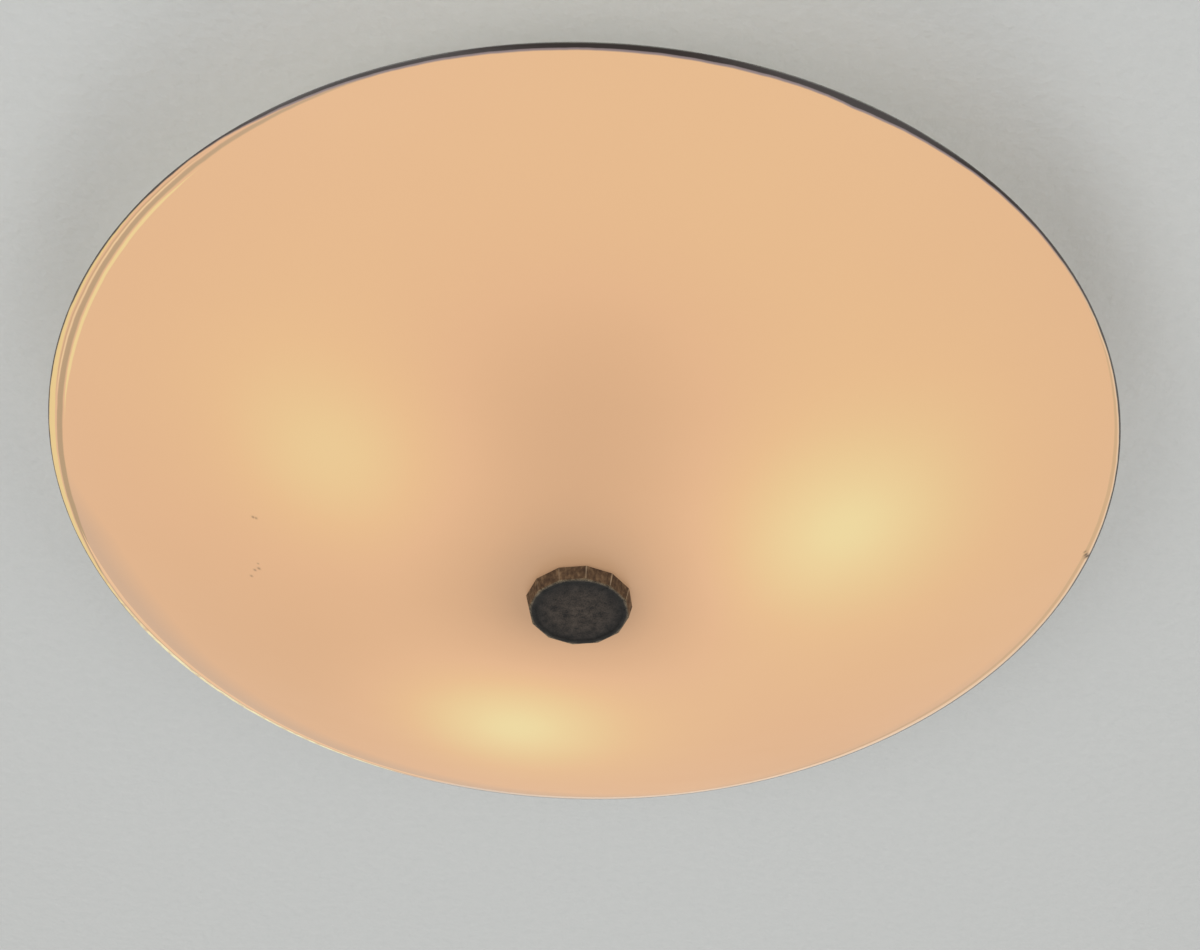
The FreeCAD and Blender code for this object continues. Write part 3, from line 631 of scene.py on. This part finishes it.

# %% [markdown]
# Half of the colour is the glass lit by the room, and half is a painted glow that stands
# for the bulbs' light through it. Etched glass scatters what it reflects, and the narrow
# border along the rim is smoother. The frost is a relief of a few hundredths of a millimetre.

# %% The satin surface
frost = grain(tree, on_glass, 0.0006, 2.0)
wiped = grain(tree, on_glass, 0.09, 5.0, (1, 3, 1))
# strength of the painted glow of the bulbs' light through the glass
painted_glow_strength = 0.55
room_share = 0.46
feed(tree, shader, Base_Color=scaled_colour(tree, glass_colour, room_share))
feed(tree, shader, Emission_Color=glass_colour, Emission_Strength=painted_glow_strength)
polished = within(tree, depth, fringe_in, 1.0)
satin_rough = spread(tree, wiped, 0.42, 0.58)
rough = maths(tree, "MULTIPLY", satin_rough, spread(tree, polished, 1.0, 0.3))
feed(tree, shader, Roughness=rough, Specular_IOR_Level=0.22)
cut = maths(tree, "MULTIPLY", marked, 3.0)
relief(tree, shader, maths(tree, "SUBTRACT", frost, cut), 0.00004)

# %% [markdown]
# The ground end of the glass looks through a thick edge into the dark, so it is painted
# that dark: a deep brown with a green cast, as the edge of any plate of glass is.
# The grinding wheel left fine marks across it.

# %% The ground rim
ground_glass, tree, shader = new_finish("ground_rim")
place = add(tree, "TexCoord").outputs["Object"]
wheel = grain(tree, place, 0.0009, 3.0, (1, 1, 0.3))
cast = grain(tree, place, 0.03, 4.0)
# painted shade: the deep brown of the edge stands for the dark seen through it
end_stops = [(0.35, tint(62, 54, 52)), (0.55, tint(86, 84, 74)), (0.7, tint(112, 114, 100))]
end_colour = ramp(tree, cast, end_stops)
feed(tree, shader, Base_Color=end_colour, Coat_Weight=0.6, Coat_Roughness=0.08)
feed(tree, shader, Roughness=spread(tree, wheel, 0.12, 0.32))
relief(tree, shader, wheel, 0.00005)

dish_around = 360
dish_mesh = turned_mesh("glass_dish_fine", profile, dish_around, ["satin", "edge"])
dish_skins = [satin_glass, ground_glass]
place_mesh("glass_dish_fine", dish_mesh, "dish", "glass_dish", dish_skins)
dish_mesh.shade_smooth()
dish_mesh.set_sharp_from_angle(angle=math.radians(24))
print("dish faces:", len(dish_mesh.polygons))

# %% [markdown]
# ## The bronze knob
#
# The knob is a low twelve-sided drum of patinated bronze, a little smaller at its
# lower face. The CAD piece has sharp corners. Real ones are worn round, and their
# bright lines draw the knob's outline. A bevel modifier could round them, but rings
# of points give each edge its own rounding: each corner is a small arc, and the
# lower edge rolls over in four steps.

# %% Rings for the knob
sides = 12
corner_steps = 4
knob_face_r = knob_top_r * 22.6 / 24.2
corner_round = 0.0006
lower_roll = 0.0005
roll_steps = 4
top_edge = 0.0003
hollow_r = 0.0197
hollow_deep = 0.00035
bore_r = 0.007
bore_floor = knob_low.z + 0.0016


def corner_ring(radius, z, rounding):
    """A twelve-sided ring whose corners are small arcs."""
    half = math.pi / sides
    inset = rounding / math.cos(half)
    ring = []
    for side_number in range(sides):
        middle = knob_turn + math.tau * side_number / sides
        cx, cy = (radius - inset) * math.cos(middle), (radius - inset) * math.sin(middle)
        for step in range(corner_steps + 1):
            a = middle - half + 2 * half * step / corner_steps
            ring.append((cx + rounding * math.cos(a), cy + rounding * math.sin(a), z))
    return ring


def round_ring(radius, z):
    """A round ring with as many points as a corner ring."""
    guide = corner_ring(1.0, z, 0.2)
    angles = [math.atan2(y, x) for x, y, _ in guide]
    return [(radius * math.cos(a), radius * math.sin(a), z) for a in angles]


print("points in a ring:", len(corner_ring(knob_top_r, 0.0, corner_round)))

# %% [markdown]
# The rings run from the bored hole in the top, over the top face, down the facets,
# round the lower edge and into the shallow turned hollow of the lower face.

# %% The knob's mesh
lower, upper = knob_low.z, knob_high.z
facet_low = lower + lower_roll
facet_r = knob_face_r + (knob_top_r - knob_face_r) * lower_roll / (upper - lower)
outline = [(knob_top_r - 0.0004, upper), (knob_top_r - 0.0001, upper - top_edge)]
for share in (0.9, 0.6, 0.3, 0.0):
    height = facet_low + (upper - facet_low) * share
    outline.append((facet_r + (knob_top_r - facet_r) * share, height))
for step in range(1, roll_steps + 1):
    a = math.pi / 2 * step / roll_steps
    inwards = lower_roll * (1 - math.cos(a))
    outline.append((facet_r - inwards, facet_low - lower_roll * math.sin(a)))
outline.append((facet_r - lower_roll - 0.0008, lower))

hollow = [(hollow_r + 0.0006, 0.0), (hollow_r + 0.0001, 0.00006)]
hollow += [(hollow_r - 0.0003, hollow_deep * 0.8), (hollow_r - 0.0009, hollow_deep)]
hollow += [(r, hollow_deep) for r in (0.013, 0.009, 0.005, 0.0015)]

rings = [round_ring(bore_r, bore_floor), round_ring(bore_r, upper)]
rings += [corner_ring(r, z, corner_round) for r, z in outline]
rings += [round_ring(r, lower + deep) for r, deep in hollow]

per_ring = sides * (corner_steps + 1)
knob_points = [p for ring in rings for p in ring]
knob_faces = []
for ring in range(len(rings) - 1):
    for i in range(per_ring):
        j = (i + 1) % per_ring
        a, b = ring * per_ring, (ring + 1) * per_ring
        knob_faces.append((a + i, b + i, b + j, a + j))
knob_faces.append(tuple(range(per_ring))[::-1])
knob_faces.append(tuple(range(len(knob_points) - per_ring, len(knob_points))))
knob_mesh = bpy.data.meshes.new("knob_fine")
knob_mesh.from_pydata(knob_points, [], knob_faces)
print("knob faces:", len(knob_mesh.polygons))

# %% [markdown]
# Patinated bronze is brown-black where the patina sits, and shows warmer metal where
# hands have rubbed it: along the twelve corners and the lower edge. The paler corners
# also carry a painted highlight. The distance to the nearest corner is worked out from
# the way round the knob, because that is the same in every view and needs no baked map.

# %% The bronze's places
bronze, tree, shader = new_finish("dark_bronze")
place = add(tree, "TexCoord").outputs["Object"]
axes = add(tree, "SeparateXYZ", {0: place}).outputs
around = maths(tree, "ARCTAN2", axes[1], axes[0])
turned = maths(tree, "ADD", around, math.tau - knob_turn)
half_side = math.pi / sides
to_corner = maths(tree, "PINGPONG", turned, half_side)
radius = gap_to(tree, add(tree, "CombineXYZ", {0: axes[0], 1: axes[1]}).outputs[0], 0, 0)
on_face = between(tree, axes[2], lower + 0.0007, lower + 0.0005)
print("half a side of the knob:", round(math.degrees(half_side), 1), "degrees")

# %% [markdown]
# The facets are brown, with paler corners: rubbed metal, and a painted highlight that is
# stronger on the right, +X side. The lower face is nearly black, darkest in the corner of
# its hollow and paler on the worn ring round it, and has small pits on one half. Three
# sizes of noise break every tone up.

# %% The bronze's colours
clouds = grain(tree, place, 0.004, 6.0)
streaks = grain(tree, place, 0.0014, 5.0, (1, 1, 0.6))
flecks = grain(tree, place, 0.0006, 3.0)
facet_stops = [(0.36, tint(70, 54, 42)), (0.5, tint(94, 74, 56)), (0.64, tint(130, 106, 80))]
brown = maths(tree, "MULTIPLY", maths(tree, "ADD", clouds, streaks), 0.5)
facet_colour = ramp(tree, brown, facet_stops)
corner_wear_and_highlight = between(tree, to_corner, 0.018, 0.005, high=0.75)
# painted highlight: corners on the +X side are paler, where the light catches them
highlight_side = between(tree, axes[0], 0.0, 0.004, low=0.25)
patchy = spread(tree, clouds, 0.3, 1.7)
rubbed_and_lit = maths(tree, "MULTIPLY", patchy, highlight_side)
off_face = maths(tree, "SUBTRACT", 1.0, on_face)
corner_wear_and_highlight = maths(tree, "MULTIPLY", corner_wear_and_highlight, rubbed_and_lit)
corner_wear_and_highlight = maths(tree, "MULTIPLY", corner_wear_and_highlight, off_face)
# rubbed corners and painted highlight, in a pale warm brown
facet_colour = mix(tree, corner_wear_and_highlight, facet_colour, tint(190, 170, 142))

face_stops = [
    (0.0, tint(50, 43, 37)),
    (0.55, tint(44, 38, 33)),
    (0.78, tint(33, 29, 26)),
    (0.87, tint(20, 18, 16)),
    (0.93, tint(28, 26, 23)),
    (0.955, tint(74, 66, 55)),
    (1.0, tint(108, 93, 72)),
]
face_colour = ramp(tree, maths(tree, "DIVIDE", radius, knob_face_r), face_stops)
grainy = between(tree, maths(tree, "ADD", clouds, flecks), 0.75, 1.25)
mottle = spread(tree, grainy, 0.2, 2.3)
right_half = between(tree, axes[0], 0.002, 0.01)
pits = between(tree, grain(tree, place, 0.0016, 1.0), 0.66, 0.72)
pits = maths(tree, "MULTIPLY", pits, right_half)
mottle = maths(tree, "MULTIPLY", mottle, spread(tree, pits, 1.0, 0.25))
face_colour = scaled_colour(tree, face_colour, mottle)

# %% Colour, gloss and relief of the bronze
bronze_colour = mix(tree, on_face, facet_colour, face_colour)
feed(tree, shader, Base_Color=bronze_colour, Metallic=spread(tree, corner_wear_and_highlight, 0.15, 0.7))
feed(tree, shader, Roughness=spread(tree, flecks, 0.5, 0.78), Specular_IOR_Level=0.2)
pitted = maths(tree, "SUBTRACT", maths(tree, "ADD", clouds, flecks), pits)
relief(tree, shader, pitted, 0.00012)
print("nodes in the bronze:", len(tree.nodes))

place_mesh("knob_fine", knob_mesh, "knob", "knob", [bronze])
knob_mesh.shade_smooth()
knob_mesh.set_sharp_from_angle(angle=math.radians(30))

# %% [markdown]
# ## Finishes for the pieces inside
#
# The CAD shapes of the pan, the lamp frame, the lampholders and the bulbs are right
# as they are, so they keep their meshes and only get finishes. White stove enamel is
# glossy, with the faint ripple of sprayed paint and a little dust that warms it.

# %% White enamel
enamel, tree, shader = new_finish("white_enamel")
place = add(tree, "TexCoord").outputs["Object"]
dust = grain(tree, place, 0.03, 7.0)
ripple = grain(tree, place, 0.0018, 2.0)
feed(tree, shader, Base_Color=mix(tree, dust, tint(240, 238, 230), tint(226, 222, 210)))
feed(tree, shader, Roughness=spread(tree, dust, 0.18, 0.36), Coat_Weight=0.3, Coat_Roughness=0.12)
relief(tree, shader, ripple, 0.00006)
print("enamel:", enamel.name)

# %% [markdown]
# The small metal pieces share one recipe: a bright and a dull tone mixed by cloudy
# tarnish, and fine lines left by the tool, which steer the roughness and the relief.


# %% One recipe for plated and bare metal
def metal(name, bright, dull, smooth, rough, patch=0.012, lines=(1, 1, 6)):
    """A metal with tarnish in patches and fine tool lines."""
    made, tree, shader = new_finish(name)
    place = add(tree, "TexCoord").outputs["Object"]
    tarnish = grain(tree, place, patch, 6.0)
    tool = grain(tree, place, 0.0012, 3.0, lines)
    worn = maths(tree, "MULTIPLY", maths(tree, "ADD", tarnish, tool), 0.5)
    even = between(tree, tarnish, 0.35, 0.65)
    feed(tree, shader, Base_Color=mix(tree, even, bright, dull), Metallic=1.0)
    feed(tree, shader, Roughness=spread(tree, worn, smooth, rough))
    relief(tree, shader, tool, 0.00003)
    return made


metals = {
    "zinc": metal("zinc_plate", tint(208, 210, 214), tint(172, 176, 184), 0.2, 0.5),
    "brass": metal("plain_brass", tint(214, 178, 104), tint(166, 126, 66), 0.18, 0.5),
    "tinned": metal("tinned_copper", tint(206, 206, 204), tint(168, 166, 160), 0.2, 0.45),
    "solder": metal("solder_drop", tint(190, 190, 192), tint(128, 128, 132), 0.25, 0.6, 0.003),
    "cap": metal("bulb_cap", tint(222, 217, 202), tint(186, 178, 158), 0.16, 0.42, 0.008),
    "wire": metal("filament_and_stem", tint(196, 192, 184), tint(120, 116, 108), 0.2, 0.5, 0.004),
}
print("metals:", ", ".join(metals))

# %% [markdown]
# Moulded and fired pieces have no metal in them. One recipe serves them all: two
# close tones, a gloss, and a relief that is coarse for felt and rubber, and nearly
# nothing for glazed porcelain.


# %% One recipe for moulded and fired pieces
def moulded(name, light, dark, smooth, rough, patch, depth, **more):
    """A plain solid material with patchy colour, gloss and relief."""
    made, tree, shader = new_finish(name)
    place = add(tree, "TexCoord").outputs["Object"]
    patches = grain(tree, place, patch, 5.0)
    skin = grain(tree, place, patch / 8, 3.0)
    feed(tree, shader, Base_Color=mix(tree, patches, light, dark))
    feed(tree, shader, Roughness=spread(tree, skin, smooth, rough), **more)
    relief(tree, shader, skin, depth)
    return made


fired_white = tint(240, 238, 230), tint(228, 224, 212)
plastic_white = tint(232, 230, 220), tint(218, 214, 200)
rubber_black = tint(38, 38, 38), tint(58, 56, 54)
felt_brown = tint(62, 58, 54), tint(34, 32, 30)
glass_black = tint(22, 22, 28), tint(36, 36, 44)
porcelain = moulded(
    "glazed_porcelain", *fired_white, 0.06, 0.2, 0.012, 0.00004, Coat_Weight=0.5
)
white_plastic = moulded("white_plastic", *plastic_white, 0.32, 0.5, 0.006, 0.00003)
rubber = moulded("black_rubber", *rubber_black, 0.55, 0.85, 0.004, 0.00008)
felt = moulded("dark_felt", *felt_brown, 0.85, 1.0, 0.0016, 0.0003, Sheen_Weight=0.4)
black_glass = moulded("black_glass", *glass_black, 0.05, 0.16, 0.004, 0.00002)
print("materials so far:", len(bpy.data.materials))

# %% [markdown]
# The leads wear woven glass-fibre sleeves, whose threads cross. Two sets of fine
# waves, one leaning each way, make the weave. The earth lead's sleeve is green with
# a yellow stripe on its top and bottom, found from the way its surface faces.

# %% The woven sleeve
thread_scale = 420.0
sleeve, tree, shader = new_finish("woven_sleeve")
place = add(tree, "TexCoord").outputs["Object"]
threads = []
for tilt in (1.0, -1.0):
    feeds = {0: place, 1: (1, tilt, 0.6 * tilt)}
    leaning = add(tree, "VectorMath", feeds, operation="MULTIPLY").outputs[0]
    feeds = {"Vector": leaning, "Scale": thread_scale}
    threads.append(add(tree, "TexWave", feeds, bands_direction="DIAGONAL").outputs["Fac"])
weave = maths(tree, "MAXIMUM", *threads)
feed(tree, shader, Base_Color=mix(tree, weave, tint(176, 170, 152), tint(226, 221, 206)))
feed(tree, shader, Roughness=spread(tree, weave, 0.9, 0.6), Sheen_Weight=0.2)
relief(tree, shader, weave, 0.0002)
print("sets of threads:", len(threads))

# %% The earth lead's sleeve
earth_sleeve, tree, shader = new_finish("earth_sleeve")
coords = add(tree, "TexCoord").outputs
facing = add(tree, "SeparateXYZ", {0: coords["Normal"]}).outputs[2]
stripe = maths(tree, "GREATER_THAN", maths(tree, "ABSOLUTE", facing), 0.72)
scuffs = grain(tree, coords["Object"], 0.004, 5.0)
green = mix(tree, scuffs, tint(44, 128, 60), tint(70, 150, 78))
feed(tree, shader, Base_Color=mix(tree, stripe, green, tint(232, 206, 60)))
feed(tree, shader, Roughness=spread(tree, scuffs, 0.35, 0.55))
relief(tree, shader, grain(tree, coords["Object"], 0.001, 2.0), 0.00003)
print("earth sleeve:", earth_sleeve.name)

# %% [markdown]
# The bulbs are on. Their glass is frosted inside, in faint clouds. The glow is kept
# low, at the level of a lit page, so that the shape of the bulb still shows when the
# light is taken apart.

# %% Bulb glass
bulb_glass, tree, shader = new_finish("frosted_bulb")
place = add(tree, "TexCoord").outputs["Object"]
frosting = grain(tree, place, 0.008, 5.0)
warm_bulb = mix(tree, frosting, tint(255, 226, 170), tint(255, 240, 204))
feed(tree, shader, Base_Color=tint(150, 143, 126), Emission_Color=warm_bulb)
feed(tree, shader, Emission_Strength=0.6, Roughness=spread(tree, frosting, 0.12, 0.3))
relief(tree, shader, grain(tree, place, 0.0012, 3.0), 0.00002)
print("bulb glass:", bulb_glass.name)

# %% [markdown]
# Last, each CAD piece takes the finish that its slot in the record asks for.

# %% Give every CAD piece its finish
finish_of = {
    "enamel": enamel,
    "zinc_steel": metals["zinc"],
    "brass": metals["brass"],
    "bronze": bronze,
    "satin_glass": satin_glass,
    "felt": felt,
    "white_plastic": white_plastic,
    "tinned": metals["tinned"],
    "earth_sleeve": earth_sleeve,
    "lead_sleeve": sleeve,
    "rubber": rubber,
    "porcelain": porcelain,
    "solder": metals["solder"],
    "bulb_glass": bulb_glass,
    "bulb_cap_metal": metals["cap"],
    "black_glass": black_glass,
    "filament": metals["wire"],
}
rows = frame["record"]["subparts"]
for row in rows:
    piece = frame["nodes"][row["node"]]
    if not piece.data.materials:
        piece.data.materials.append(None)
    for holder in piece.material_slots:
        holder.material = finish_of[row["material_slot"]]
print("finishes used:", len({row["material_slot"] for row in rows}))
